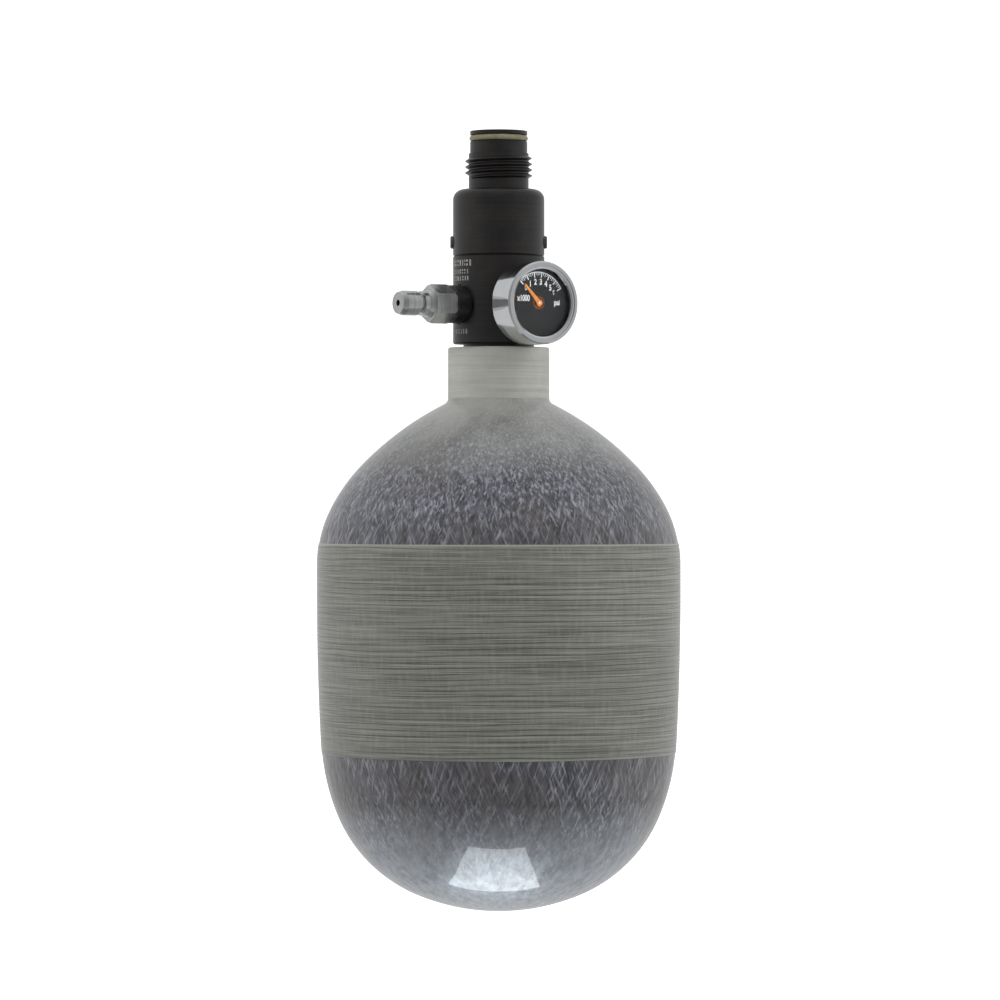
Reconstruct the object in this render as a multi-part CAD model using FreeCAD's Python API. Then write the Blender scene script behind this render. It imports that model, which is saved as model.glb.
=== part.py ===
import FreeCAD, Part
import math
import os

# A small composite air cylinder with its pin-valve regulator, in millimetres.
# The cylinder's axis is Z, with +Z out of the neck, and the origin is the centre
# of the outlet's top face, so every height on the axis is negative. The gauge
# faces -Y, the fill nipple points along -X, the high-pressure relief plug along
# +X and the low-pressure relief plug along +Y. Threads that are hidden inside a
# joint are plain cylinders of their outer size. The outlet's own thread is a crest
# swept round the bonnet's root cylinder, and is a piece of its own.

# Cylinder
bottle_r = 56.65            # widest radius of the carbon overwrap
barrel_straight = 8.7       # parallel stretch, just below the upper dome
barrel_curve_r = 900.0      # very slight belly of the rest of the barrel
barrel_curve_turn = 3.0     # degrees
wrap_thickness = 5.0
liner_thickness = 3.0
cone_heading = 62.0         # degrees from the axis where the upper dome starts
dome_start_r = 19.0
dome_start_drop = 18.65     # below the neck's top face
upper_dome = [(95.0, 18.4), (57.0, 15.6), (38.9, 28.0)]   # relative radius, degrees
lower_dome = [(69.3, 18.6), (45.8, 46.0)]                 # relative radius, degrees
lower_dome_girth = 55.42    # what the lower dome's radii are relative to
neck_r = 15.85
neck_fillet_r = 2.0
neck_chamfer = 0.35
boss_proud = 0.15           # how far the inner boss stands out past the neck
boss_depth = 29.7           # below the neck's top face
hoop_thickness = 0.8
hoop_proud = 0.15
hoop_above_barrel = 6.65    # how far the hoop band climbs the upper dome
hoop_length = 65.5

# Regulator, outside
regulator_r = 14.2875
bonnet_length = 39.0
body_length = 27.5
shoulder_height = -18.2
shoulder_round = 3.2
edge_chamfer = 0.35
flange_rim = 1.4            # the flange's reach past the O-ring's gland
flange_height = 1.1
spigot_r = 7.9375           # a 5/8 inch neck thread
spigot_length = 14.7

# Outlet
thread_major_r = 10.4775
thread_pitch = 1.8143       # 14 threads to the inch
thread_depth_share = 0.6134     # depth of a 60 degree external thread over its pitch
thread_half_angle = 30.0
thread_length = 8.3
thread_start = 144.0        # degrees round the axis of the thread's lower end
thread_gap = 0.3            # between the pilot collar and the thread
pilot_step = 1.5275         # how much smaller the pilot is than the thread
pilot_length = 7.0
outlet_lip = 1.15
outlet_groove_height = 2.2
outlet_groove_depth = 1.65
outlet_oring_proud = 0.2
squeeze = 0.05              # how much an O-ring flattens on its seat

# Pin valve
housing_r = 5.0
housing_drop = 0.6
housing_bottom = -9.0       # heights of the pin valve are from the outlet's face
pin_bore_r = 1.9
pin_clearance = 0.05
pin_stem_r = 1.45
pin_top = -0.4
pin_guide_length = 4.0
pin_head_r = 2.9
pin_head_length = 2.2
pin_seal_thickness = 0.3
pin_spring_r = 2.2
pin_spring_wire = 0.5
pin_spring_bottom = -16.5
spring_pocket_r = 3.6
outlet_passage_r = 1.6

# Piston, its spring washers and its guide
chamber_r = 8.0
chamber_height = 6.0        # above the piston's ledge
piston_bore_r = 9.525
ledge_rise = 6.6            # above the body's nose
rest_gap = 0.05             # between a stopped piece and its stop
piston_clearance = 0.05
piston_head_height = 3.0
piston_groove_height = 1.5
piston_groove_depth = 1.2
piston_stem_r = 3.0
piston_bore_radius = 1.1
piston_travel = 0.8
washer_count = 4
washer_thickness = 0.6
washer_gap = 0.25           # between a washer and what it surrounds
skirt_wall = 2.2875         # bonnet's wall round the body's nose
nose_height = 6.4
pocket_wall = 0.8           # guide left outside its O-ring groove
guide_length = 11.9
stem_overhang = 1.5         # the piston's stem below its guide
guide_groove_depth = 1.15
guide_groove_height = 1.6
guide_groove_drop = 5.0
seat_r = 3.6
seat_thickness = 3.0
seat_recess = 0.8
vent_r = 0.6
vent_rise = 1.6             # above the body's nose

# Grub screws that lock the bonnet
grub_r = 2.0
grub_proud = 0.85
grub_rise = 4.3             # above the parting line
grub_socket_af = 2.0
grub_socket_depth = 1.2
grub_bearing = -33.0        # degrees round the axis of the first screw

# Gas ways in the body
bore_r = 2.0
bore_overrun = 0.6          # how far the axial bore passes the side passages
feed_r = 0.6
feed_wall = 0.1             # between the feed and the wall of the guide's pocket
port_drop = 15.4            # below the parting line
port_floor = 6.3            # distance from the axis
port_r = 4.85
port_passage_r = 1.0
spot_depth = 0.69
filter_r = 5.0
filter_thickness = 3.0
clip_wire = 0.8
clip_ring = 1.4
neck_oring_r = 0.85

# Fill nipple: distances are outwards from its spot face
spacer_wall = 1.05
spacer_length = 3.6
nipple_seal_wall = 0.85
nipple_seal_length = 1.2
nipple_hex_af = 10.6
nipple_hex_length = 6.6
nipple_chamfer = 0.9
nipple_neck_r = 4.6
nipple_cone_length = 1.5
nipple_ring_r = 3.8
nipple_ring_length = 1.6
nipple_groove_r = 2.9
nipple_groove_length = 1.6
nipple_groove_bevel = 0.3
nipple_barrel_r = 3.85
nipple_barrel_length = 4.8
nipple_tip_r = 3.35
nipple_tip_length = 1.6
nipple_mouth_r = 1.0
check_bore_r = 2.6
check_bore_depth = 11.0     # from the nipple's tip to the check valve's seat
check_clearance = 0.05
check_seal_thickness = 0.4
check_length = 5.5
check_spring_wire = 0.4
check_spring_length = 6.0
check_retainer_length = 3.0

# Gauge
gauge_r = 12.85
gauge_gap = 0.9
gauge_case_depth = 7.4
gauge_round = 1.0
gauge_back = 1.2
bezel_depth = 3.0
bezel_lip = 1.5
bezel_wall = 1.2            # outside the lens
bezel_overlap = 1.15        # over the lens's edge
bezel_step = 0.4            # the ledge inside the bezel's rim
bezel_step_width = 0.55
lens_thickness = 1.0
gasket_width = 0.4
dial_seat = 0.6             # how far the case's wall steps in under the dial
dial_thickness = 0.4
dial_drop = 0.8             # below the case's front edge
bush_r = 2.1
bush_proud = 0.15
bush_length = 1.6
spindle_r = 0.4
spindle_clearance = 0.04
spindle_length = 4.6
pointer_thickness = 0.25
pointer_gap = 0.35          # above the dial
pointer_margin = 3.5        # between the pointer's tip and the dial's edge
pointer_tail = 0.9
pointer_hub_r = 1.0
pointer_root_width = 1.6
pointer_tip_width = 0.5
pointer_rest = 43.0         # degrees left of upright at no pressure
tube_bend_r = 5.5
tube_width = 0.9
tube_height = 2.4
tube_lift = 0.4             # above the case's floor
tube_sweep = 270.0          # degrees
post_width = 2.0

# Relief plugs
high_plug_drop = 8.0        # below the parting line
high_plug_r = 3.9
high_plug_af = 9.525
high_plug_head = 5.4
high_plug_floor = 9.2
high_passage_r = 1.0
low_plug_rise = 1.8         # above the piston's ledge
low_plug_r = 3.0
low_plug_af = 8.0
low_plug_head = 3.9
low_plug_floor = 10.3
low_passage_r = 0.8
disc_thickness = 0.3
disc_margin = 0.5
plug_vent_r = 0.9
plug_chamfer = 0.7

UP = FreeCAD.Vector(0, 0, 1)
ORIGIN = FreeCAD.Vector(0, 0, 0)
FRONT = FreeCAD.Vector(0, -1, 0)
BACK = FreeCAD.Vector(0, 1, 0)
LEFT = FreeCAD.Vector(-1, 0, 0)
RIGHT = FreeCAD.Vector(1, 0, 0)

parting = -bonnet_length
body_bottom = parting - body_length
neck_top = body_bottom - flange_height
gland_r = spigot_r + 2 * neck_oring_r
gland_depth = 2 * neck_oring_r - squeeze
nose_r = regulator_r - skirt_wall
nose_top = parting + nose_height
piston_ledge = nose_top + ledge_rise
chamber_top = piston_ledge + chamber_height
guide_groove_r = piston_stem_r + piston_clearance + guide_groove_depth
pocket_r = guide_groove_r + pocket_wall
vent_height = nose_top + vent_rise
grub_height = parting + grub_rise
port_height = parting - port_drop
high_plug_height = parting - high_plug_drop
low_plug_height = piston_ledge + low_plug_rise
thread_root_r = thread_major_r - thread_depth_share * thread_pitch
thread_top = -pilot_length - thread_gap
pilot_r = thread_major_r - pilot_step
spacer_r = port_r + spacer_wall
spot_face = regulator_r - spot_depth
plug_seat = regulator_r - plug_chamfer / 2
lens_r = gauge_r - bezel_wall
dial_r = lens_r - gasket_width


def disc(radius, bottom, top):
    """A solid cylinder on the local axis between two heights."""
    return Part.makeCylinder(radius, top - bottom, FreeCAD.Vector(0, 0, bottom), UP)


def ring(inner, outer, bottom, top):
    return disc(outer, bottom, top).cut(disc(inner, bottom, top))


def turned(points):
    """A solid turned about the local axis from a closed outline of (radius, height)."""
    corners = [FreeCAD.Vector(r, 0, z) for r, z in points]
    outline = Part.makePolygon(corners + corners[:1])
    return solid_of(Part.Face(outline).revolve(ORIGIN, UP, 360))


def solid_of(shape):
    solid = shape.Solids[0]
    if solid.Volume < 0:
        solid.reverse()
    return solid


def hexagon(flats, bottom, top, turn=0.0):
    """A hexagonal prism whose first corner is at this angle in degrees."""
    corner_r = flats / math.sqrt(3)
    corners = []
    for side in range(7):
        angle = math.radians(turn + 60 * side)
        corners.append(FreeCAD.Vector(corner_r * math.cos(angle), corner_r * math.sin(angle), bottom))
    return Part.Face(Part.makePolygon(corners)).extrude(UP * (top - bottom))


def circles(shape, radius, height):
    """The circular edges of this radius at this height on the local axis."""
    found = []
    for edge in shape.Edges:
        if edge.Degenerated:
            continue
        curve = edge.Curve
        if isinstance(curve, Part.Circle):
            if abs(curve.Radius - radius) < 1e-5 and abs(curve.Center.z - height) < 1e-5:
                found.append(edge)
    return found


def oring(middle_r, wire_r, height):
    return Part.makeTorus(middle_r, wire_r, FreeCAD.Vector(0, 0, height), UP)


def coil(mean_r, wire_r, bottom, top, turns):
    """A coil spring with both ends ground flat."""
    pitch = (top - bottom - wire_r) / turns
    helix = Part.makeHelix(pitch, pitch * turns, mean_r)
    start = Part.Wire(Part.makeCircle(wire_r, FreeCAD.Vector(mean_r, 0, 0), FreeCAD.Vector(0, 1, 0)))
    wire = solid_of(Part.Wire(helix.Edges).makePipeShell([start], True, True))
    wire.translate(UP * (bottom + wire_r / 2))
    return wire.common(disc(mean_r + 2 * wire_r, bottom, top))


def outwards(shape, direction, height):
    """Point a shape's local axis along a horizontal direction, with its local Y upright."""
    across = UP.cross(direction)
    turn = FreeCAD.Rotation(across, UP, direction, "ZYX")
    placed = shape.copy()
    placed.Placement = FreeCAD.Placement(UP * height, turn).multiply(shape.Placement)
    return placed


def meridian():
    """The overwrap's outline as tangent arcs: (radius, height, heading, arc radius, turn)."""
    heading = cone_heading
    widening = 0.0
    for relative, turn in upper_dome:
        widening += relative * (math.cos(math.radians(heading - turn)) - math.cos(math.radians(heading)))
        heading -= turn
    upper_scale = (bottle_r - dome_start_r) / widening
    barrel_loss = barrel_curve_r * (1 - math.cos(math.radians(barrel_curve_turn)))
    lower_scale = (bottle_r - barrel_loss) / lower_dome_girth
    arcs = [(relative * upper_scale, turn) for relative, turn in upper_dome]
    arcs.append((0.0, barrel_straight))
    arcs.append((barrel_curve_r, barrel_curve_turn))
    arcs += [(relative * lower_scale, turn) for relative, turn in lower_dome]
    return arcs


def vessel(offset):
    """The closed vessel inside the overwrap's outline moved outwards by an offset."""
    heading = math.radians(cone_heading)
    r = dome_start_r + offset * math.cos(heading)
    z = neck_top - dome_start_drop + offset * math.sin(heading)
    back = r / math.tan(heading)
    point = FreeCAD.Vector(r, 0, z)
    edges = [Part.LineSegment(FreeCAD.Vector(0, 0, z + back), point).toShape()]
    for radius, turn in meridian():
        if radius == 0.0:
            end = point - UP * turn
            edges.append(Part.LineSegment(point, end).toShape())
        else:
            end, edge, heading = bend(point, heading, radius + offset, math.radians(turn))
            edges.append(edge)
        point = end
    closing_turn = math.radians(90) + heading
    closing_r = point.x / math.sin(closing_turn)
    end, edge, heading = bend(point, heading, closing_r, closing_turn)
    edges.append(edge)
    edges.append(Part.LineSegment(end, FreeCAD.Vector(0, 0, z + back)).toShape())
    outline = Part.Wire(edges)
    return solid_of(Part.Face(outline).revolve(ORIGIN, UP, 360))


def bend(start, heading, radius, turn):
    """An arc that turns inwards from a heading, measured from straight down."""
    middle = heading - turn / 2
    final = heading - turn
    centre = start - FreeCAD.Vector(math.cos(heading), 0, math.sin(heading)) * radius
    halfway = centre + FreeCAD.Vector(math.cos(middle), 0, math.sin(middle)) * radius
    end = centre + FreeCAD.Vector(math.cos(final), 0, math.sin(final)) * radius
    if final <= math.radians(-90) + 1e-9:
        end.x = 0.0
    return end, Part.Arc(start, halfway, end).toShape(), final


def barrel_top():
    """Where the upper dome meets the parallel stretch of the barrel."""
    heading = math.radians(cone_heading)
    point = FreeCAD.Vector(dome_start_r, 0, neck_top - dome_start_drop)
    for radius, turn in meridian()[:len(upper_dome)]:
        point, _, heading = bend(point, heading, radius, math.radians(turn))
    return point.z


def hoop_slab():
    top = barrel_top() + hoop_above_barrel
    return disc(2 * bottle_r, top - hoop_length, top)


def make_overwrap():
    shell = vessel(0).cut(vessel(-wrap_thickness))
    shell = shell.cut(make_hoop()).cut(disc(neck_r, neck_top - boss_depth, neck_top))
    return shell.fuse(neck_fillet()).removeSplitter()


def neck_fillet():
    """Resin drawn up round the foot of the neck, tangent to the neck and to the cone."""
    heading = math.radians(cone_heading)
    start = FreeCAD.Vector(dome_start_r, 0, neck_top - dome_start_drop)
    slope = 1 / math.tan(heading)
    centre_r = neck_r + neck_fillet_r
    line_z = start.z + (dome_start_r - centre_r) * slope
    centre = FreeCAD.Vector(centre_r, 0, line_z + neck_fillet_r / math.sin(heading))
    foot = centre - FreeCAD.Vector(math.cos(heading), 0, math.sin(heading)) * neck_fillet_r
    top = FreeCAD.Vector(neck_r, 0, centre.z)
    middle_angle = (math.pi + math.pi + heading) / 2
    middle = centre + FreeCAD.Vector(math.cos(middle_angle), 0, math.sin(middle_angle)) * neck_fillet_r
    sunk = FreeCAD.Vector(foot.x, 0, foot.z - neck_fillet_r)
    inner = FreeCAD.Vector(neck_r, 0, sunk.z)
    edges = [
        Part.Arc(top, middle, foot).toShape(),
        Part.LineSegment(foot, sunk).toShape(),
        Part.LineSegment(sunk, inner).toShape(),
        Part.LineSegment(inner, top).toShape(),
    ]
    return solid_of(Part.Face(Part.Wire(edges)).revolve(ORIGIN, UP, 360))


def make_hoop():
    return vessel(hoop_proud).cut(vessel(hoop_proud - hoop_thickness)).common(hoop_slab())


def make_liner():
    neck = disc(neck_r, neck_top - boss_depth, neck_top)
    shell = vessel(-wrap_thickness).cut(vessel(-wrap_thickness - liner_thickness))
    boss = disc(neck_r + boss_proud, neck_top - boss_depth, neck_top).common(vessel(-wrap_thickness))
    shape = shell.fuse([neck, boss])
    shape = shape.cut(disc(spigot_r, neck_top - boss_depth, neck_top))
    shape = shape.cut(disc(gland_r, neck_top - gland_depth, neck_top)).removeSplitter()
    return shape.makeChamfer(neck_chamfer, circles(shape, neck_r, neck_top))


def make_neck_oring():
    ring_shape = oring(spigot_r + neck_oring_r, neck_oring_r, neck_top - neck_oring_r)
    return ring_shape.common(disc(gland_r + squeeze, neck_top - gland_depth, neck_top))


def make_thread():
    """The crest of the outlet's right-hand thread, swept round the bonnet's root cylinder."""
    crest_half = thread_pitch / 16
    root_half = crest_half + (thread_major_r - thread_root_r) * math.tan(math.radians(thread_half_angle))
    profile = Part.makePolygon([
        FreeCAD.Vector(thread_root_r, 0, -root_half),
        FreeCAD.Vector(thread_major_r, 0, -crest_half),
        FreeCAD.Vector(thread_major_r, 0, crest_half),
        FreeCAD.Vector(thread_root_r, 0, root_half),
        FreeCAD.Vector(thread_root_r, 0, -root_half),
    ])
    rise = thread_length - 2 * root_half
    helix = Part.makeHelix(thread_pitch, rise, thread_root_r)
    crest = solid_of(Part.Wire(helix.Edges).makePipeShell([profile], True, True))
    crest.rotate(ORIGIN, UP, thread_start)
    crest.translate(UP * (thread_top - thread_length + root_half))
    return crest


def make_bonnet():
    groove_top = -outlet_lip
    groove_bottom = groove_top - outlet_groove_height
    shape = turned([
        (0, 0),
        (pilot_r, 0),
        (pilot_r, groove_top),
        (pilot_r - outlet_groove_depth, groove_top),
        (pilot_r - outlet_groove_depth, groove_bottom),
        (pilot_r, groove_bottom),
        (pilot_r, -pilot_length),
        (thread_root_r, -pilot_length),
        (thread_root_r, shoulder_height),
        (regulator_r, shoulder_height),
        (regulator_r, parting),
        (0, parting),
    ])
    shape = shape.makeFillet(shoulder_round, circles(shape, regulator_r, shoulder_height))
    shape = shape.makeChamfer(edge_chamfer, circles(shape, regulator_r, parting))
    hollow = disc(housing_r, housing_bottom, 0)
    hollow = hollow.fuse([
        disc(spring_pocket_r, pin_spring_bottom, housing_bottom),
        disc(outlet_passage_r, chamber_top, pin_spring_bottom),
        disc(chamber_r, piston_ledge, chamber_top),
        disc(piston_bore_r, nose_top, piston_ledge),
        disc(nose_r, parting, nose_top),
        outwards(disc(vent_r, 0, 2 * regulator_r), BACK, vent_height),
        relief_port(low_plug_r, low_plug_floor, low_passage_r, BACK, low_plug_height, low_plug_af),
    ])
    shape = shape.cut(hollow)
    for direction in grub_directions():
        shape = shape.cut(outwards(disc(grub_r, nose_r, 2 * regulator_r), direction, grub_height))
    return shape


def relief_port(thread_r, floor, passage_r, direction, height, flats):
    """What a relief plug's hole and its spot face take away."""
    spot = disc(flats / math.sqrt(3) + plug_chamfer / 2, plug_seat, 2 * regulator_r)
    hole = disc(thread_r, floor, 2 * regulator_r)
    passage = disc(passage_r, 0, floor)
    return outwards(spot.fuse([hole, passage]), direction, height)


def grub_directions():
    angle = math.radians(grub_bearing)
    first = FreeCAD.Vector(math.cos(angle), math.sin(angle), 0)
    return [first, first * -1]


def make_grub(direction):
    end = regulator_r + grub_proud
    shape = disc(grub_r, nose_r, end)
    shape = shape.makeChamfer(edge_chamfer, circles(shape, grub_r, end))
    shape = shape.cut(hexagon(grub_socket_af, end - grub_socket_depth, end))
    return outwards(shape, direction, grub_height)


def make_body():
    spigot_bottom = neck_top - spigot_length
    filter_top = spigot_bottom + clip_wire + filter_thickness
    pocket_floor = seat_top() - seat_thickness + seat_recess
    shape = turned([
        (0, nose_top),
        (nose_r, nose_top),
        (nose_r, parting),
        (regulator_r, parting),
        (regulator_r, body_bottom),
        (gland_r + flange_rim, body_bottom),
        (gland_r + flange_rim, neck_top),
        (spigot_r, neck_top),
        (spigot_r, spigot_bottom),
        (0, spigot_bottom),
    ])
    rims = circles(shape, regulator_r, parting) + circles(shape, regulator_r, body_bottom)
    shape = shape.makeChamfer(edge_chamfer, rims)
    side_port = disc(port_r, port_floor, 2 * regulator_r).fuse(disc(port_passage_r, 0, port_floor))
    bore_top = port_height + port_passage_r + bore_overrun
    hollow = disc(pocket_r, pocket_floor, nose_top)
    hollow = hollow.fuse([
        disc(seat_r, pocket_floor - seat_recess, pocket_floor),
        disc(bore_r, filter_top, bore_top),
        disc(filter_r, spigot_bottom, filter_top),
        disc(feed_r, port_height, pocket_floor).translated(LEFT * (pocket_r - feed_wall - feed_r)),
        outwards(side_port, FRONT, port_height),
        outwards(side_port, LEFT, port_height),
        outwards(disc(spacer_r + edge_chamfer, spot_face, 2 * regulator_r), LEFT, port_height),
        relief_port(high_plug_r, high_plug_floor, high_passage_r, RIGHT, high_plug_height, high_plug_af),
    ])
    return shape.cut(hollow)


def seat_top():
    """The valve seat's top face, which the piston's tip reaches at the end of its travel."""
    return nose_top - guide_length - stem_overhang - piston_travel


def make_pin_housing():
    bottom = housing_bottom
    shape = ring(pin_bore_r, housing_r, bottom, -housing_drop)
    return shape.makeChamfer(edge_chamfer, circles(shape, pin_bore_r, -housing_drop))


def make_valve_pin():
    head_top = housing_bottom - pin_seal_thickness - rest_gap
    guide_top = housing_bottom - rest_gap + pin_guide_length
    guide = disc(pin_bore_r - pin_clearance, head_top, guide_top)
    flute_r = pin_stem_r / 2
    for side in range(3):
        angle = math.radians(120 * side)
        place = FreeCAD.Vector(math.cos(angle), math.sin(angle), 0) * (pin_bore_r + flute_r / 3)
        guide = guide.cut(disc(flute_r, head_top, guide_top).translated(place))
    stem = disc(pin_stem_r, guide_top, pin_top)
    stem = stem.makeChamfer(edge_chamfer, circles(stem, pin_stem_r, pin_top))
    head = disc(pin_head_r, head_top - pin_head_length, head_top)
    return stem.fuse([guide, head]).removeSplitter()


def make_pin_seal():
    bottom = housing_bottom - rest_gap - pin_seal_thickness
    return ring(pin_bore_r, pin_head_r, bottom, bottom + pin_seal_thickness)


def make_pin_spring():
    top = housing_bottom - rest_gap - pin_seal_thickness - pin_head_length
    return coil(pin_spring_r, pin_spring_wire / 2, pin_spring_bottom, top, 5)


def make_outlet_oring():
    floor_r = pilot_r - outlet_groove_depth
    wire_r = (pilot_r + outlet_oring_proud - floor_r + squeeze) / 2
    middle = floor_r - squeeze + wire_r
    height = -outlet_lip - outlet_groove_height / 2
    return oring(middle, wire_r, height).cut(disc(floor_r, height - wire_r, height + wire_r))


def make_piston():
    head_top = piston_ledge - rest_gap
    head_bottom = head_top - piston_head_height
    groove_middle = head_top - piston_head_height / 2
    head = disc(piston_bore_r - piston_clearance, head_bottom, head_top)
    groove_bottom = groove_middle - piston_groove_height / 2
    groove = ring(piston_groove_r(), piston_bore_r, groove_bottom, groove_bottom + piston_groove_height)
    stem = disc(piston_stem_r, seat_top() + piston_travel + rest_gap, head_bottom)
    shape = head.cut(groove).fuse(stem)
    return shape.cut(disc(piston_bore_radius, seat_top(), head_top)).removeSplitter()


def piston_groove_r():
    return piston_bore_r - piston_clearance - piston_groove_depth


def make_piston_oring():
    floor_r = piston_groove_r()
    wire_r = (piston_bore_r - floor_r) / 2
    height = piston_ledge - rest_gap - piston_head_height / 2
    shape = oring(floor_r + wire_r - squeeze, wire_r, height)
    return shape.cut(disc(floor_r, height - wire_r, height + wire_r))


def make_washer(level):
    """One spring washer of the stack; every second one is turned over."""
    foot = nose_top
    room = piston_ledge - rest_gap - piston_head_height - foot
    pitch = room / washer_count
    bottom = foot + level * pitch
    top = bottom + pitch
    inner = piston_stem_r + washer_gap
    outer = piston_bore_r - washer_gap
    if level % 2 == 0:
        outline = [
            (inner, top - washer_thickness),
            (outer, bottom),
            (outer, bottom + washer_thickness),
            (inner, top),
        ]
    else:
        outline = [
            (inner, bottom),
            (outer, top - washer_thickness),
            (outer, top),
            (inner, bottom + washer_thickness),
        ]
    return turned(outline)


def make_stem_guide():
    bottom = nose_top - guide_length
    groove_top = nose_top - guide_groove_drop
    shape = ring(piston_stem_r + piston_clearance, pocket_r, bottom, nose_top)
    return shape.cut(disc(guide_groove_r, groove_top - guide_groove_height, groove_top))


def make_stem_oring():
    gap = piston_stem_r + piston_clearance
    wire_r = (guide_groove_r - gap) / 2
    height = nose_top - guide_groove_drop - guide_groove_height / 2
    return oring(guide_groove_r - wire_r, wire_r, height)


def make_valve_seat():
    return disc(seat_r, seat_top() - seat_thickness, seat_top())


def make_inlet_filter():
    bottom = neck_top - spigot_length + clip_wire
    return disc(filter_r, bottom, bottom + filter_thickness)


def make_filter_clip():
    bottom = neck_top - spigot_length
    shape = ring(filter_r - clip_ring, filter_r, bottom, bottom + clip_wire)
    gap = Part.makeBox(2 * clip_ring, clip_ring, 2 * clip_wire)
    gap.translate(FreeCAD.Vector(filter_r - 1.5 * clip_ring, -clip_ring / 2, bottom - clip_wire / 2))
    return shape.cut(gap)


def nipple_stations():
    """Distances from the axis along the nipple, from its spot face to its tip."""
    stations = {"seal": spot_face + nipple_seal_length}
    stations["hex"] = stations["seal"] + spacer_length
    stations["neck"] = stations["hex"] + nipple_chamfer + nipple_hex_length
    stations["ring"] = stations["neck"] + nipple_cone_length
    stations["groove"] = stations["ring"] + nipple_ring_length
    stations["barrel"] = stations["groove"] + nipple_groove_length
    stations["tip"] = stations["barrel"] + nipple_barrel_length
    stations["end"] = stations["tip"] + nipple_tip_length
    return stations


def make_nipple():
    at = nipple_stations()
    corner_r = nipple_hex_af / math.sqrt(3)
    hex_blank = hexagon(nipple_hex_af, at["hex"], at["neck"], 90)
    hex_form = turned([
        (0, at["hex"]),
        (corner_r - nipple_chamfer / 2, at["hex"]),
        (corner_r, at["hex"] + nipple_chamfer),
        (corner_r, at["neck"] - nipple_chamfer),
        (corner_r - nipple_chamfer / 2, at["neck"]),
        (0, at["neck"]),
    ])
    shaft = turned([
        (0, port_floor),
        (port_r, port_floor),
        (port_r, at["hex"]),
        (nipple_neck_r, at["hex"]),
        (nipple_neck_r, at["neck"]),
        (nipple_ring_r, at["ring"]),
        (nipple_ring_r, at["groove"]),
        (nipple_groove_r, at["groove"] + nipple_groove_bevel),
        (nipple_groove_r, at["barrel"] - nipple_groove_bevel),
        (nipple_barrel_r, at["barrel"]),
        (nipple_barrel_r, at["tip"]),
        (nipple_tip_r, at["end"]),
        (0, at["end"]),
    ])
    shape = shaft.fuse(hex_blank.common(hex_form))
    hollow = disc(check_bore_r, port_floor, check_seat())
    hollow = hollow.fuse(disc(nipple_mouth_r, check_seat(), at["end"]))
    return outwards(shape.cut(hollow).removeSplitter(), LEFT, port_height)


def check_seat():
    return nipple_stations()["end"] - check_bore_depth


def make_nipple_spacer():
    at = nipple_stations()
    shape = ring(port_r, spacer_r, at["seal"], at["hex"])
    shape = shape.makeChamfer(edge_chamfer, circles(shape, spacer_r, at["hex"]))
    return outwards(shape, LEFT, port_height)


def make_nipple_seal():
    shape = ring(port_r, port_r + nipple_seal_wall, spot_face, nipple_stations()["seal"])
    return outwards(shape, LEFT, port_height)


def check_front():
    return check_seat() - rest_gap - check_seal_thickness


def make_check_poppet():
    front = check_front()
    shape = disc(check_bore_r - check_clearance, front - check_length, front)
    flute_r = check_bore_r / 3
    for side in range(4):
        angle = math.radians(45 + 90 * side)
        place = FreeCAD.Vector(math.cos(angle), math.sin(angle), 0) * (check_bore_r + flute_r / 3)
        shape = shape.cut(disc(flute_r, front - check_length, front).translated(place))
    return outwards(shape, LEFT, port_height)


def make_check_seal():
    front = check_front()
    shape = disc(check_bore_r - 3 * check_clearance, front, front + check_seal_thickness)
    return outwards(shape, LEFT, port_height)


def make_check_spring():
    top = check_front() - check_length
    mean_r = check_bore_r - check_spring_wire
    shape = coil(mean_r, check_spring_wire / 2, top - check_spring_length, top, 5)
    return outwards(shape, LEFT, port_height)


def make_check_retainer():
    top = check_front() - check_length - check_spring_length
    shape = ring(nipple_mouth_r, check_bore_r, top - check_retainer_length, top)
    return outwards(shape, LEFT, port_height)


def gauge_stations():
    """Distances from the axis along the gauge, from its back to its front."""
    stations = {"back": regulator_r + gauge_gap}
    stations["front"] = stations["back"] + gauge_case_depth
    stations["rim"] = stations["front"] + bezel_depth
    stations["lip"] = stations["rim"] - bezel_lip
    stations["lens"] = stations["lip"] - lens_thickness
    stations["dial"] = stations["front"] - dial_drop
    stations["inside"] = stations["back"] + gauge_back
    return stations


def make_gauge_socket():
    """The threaded stem that holds the case and lets the gas in."""
    at = gauge_stations()
    shape = turned([
        (0, port_floor),
        (port_r, port_floor),
        (port_r, at["inside"]),
        (0, at["inside"]),
    ])
    gas_way = disc(port_passage_r, port_floor, at["inside"])
    return outwards(shape.cut(gas_way), FRONT, port_height)


def make_bourdon_post():
    """The block inside the case that holds the bourdon tube's fixed end."""
    block = Part.makeBox(post_width, post_width, tube_lift + tube_height)
    block.translate(FreeCAD.Vector(tube_bend_r - post_width / 2, -post_width, gauge_stations()["inside"]))
    return outwards(block, FRONT, port_height)


def make_gauge_case():
    at = gauge_stations()
    shape = disc(gauge_r, at["back"], at["front"])
    shape = shape.makeFillet(gauge_round, circles(shape, gauge_r, at["back"]))
    shape = shape.cut(disc(dial_r - dial_seat, at["inside"], at["front"]))
    shape = shape.cut(disc(dial_r, at["dial"], at["front"]))
    shape = shape.cut(disc(port_r, at["back"], at["inside"]))
    return outwards(shape, FRONT, port_height)


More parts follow.
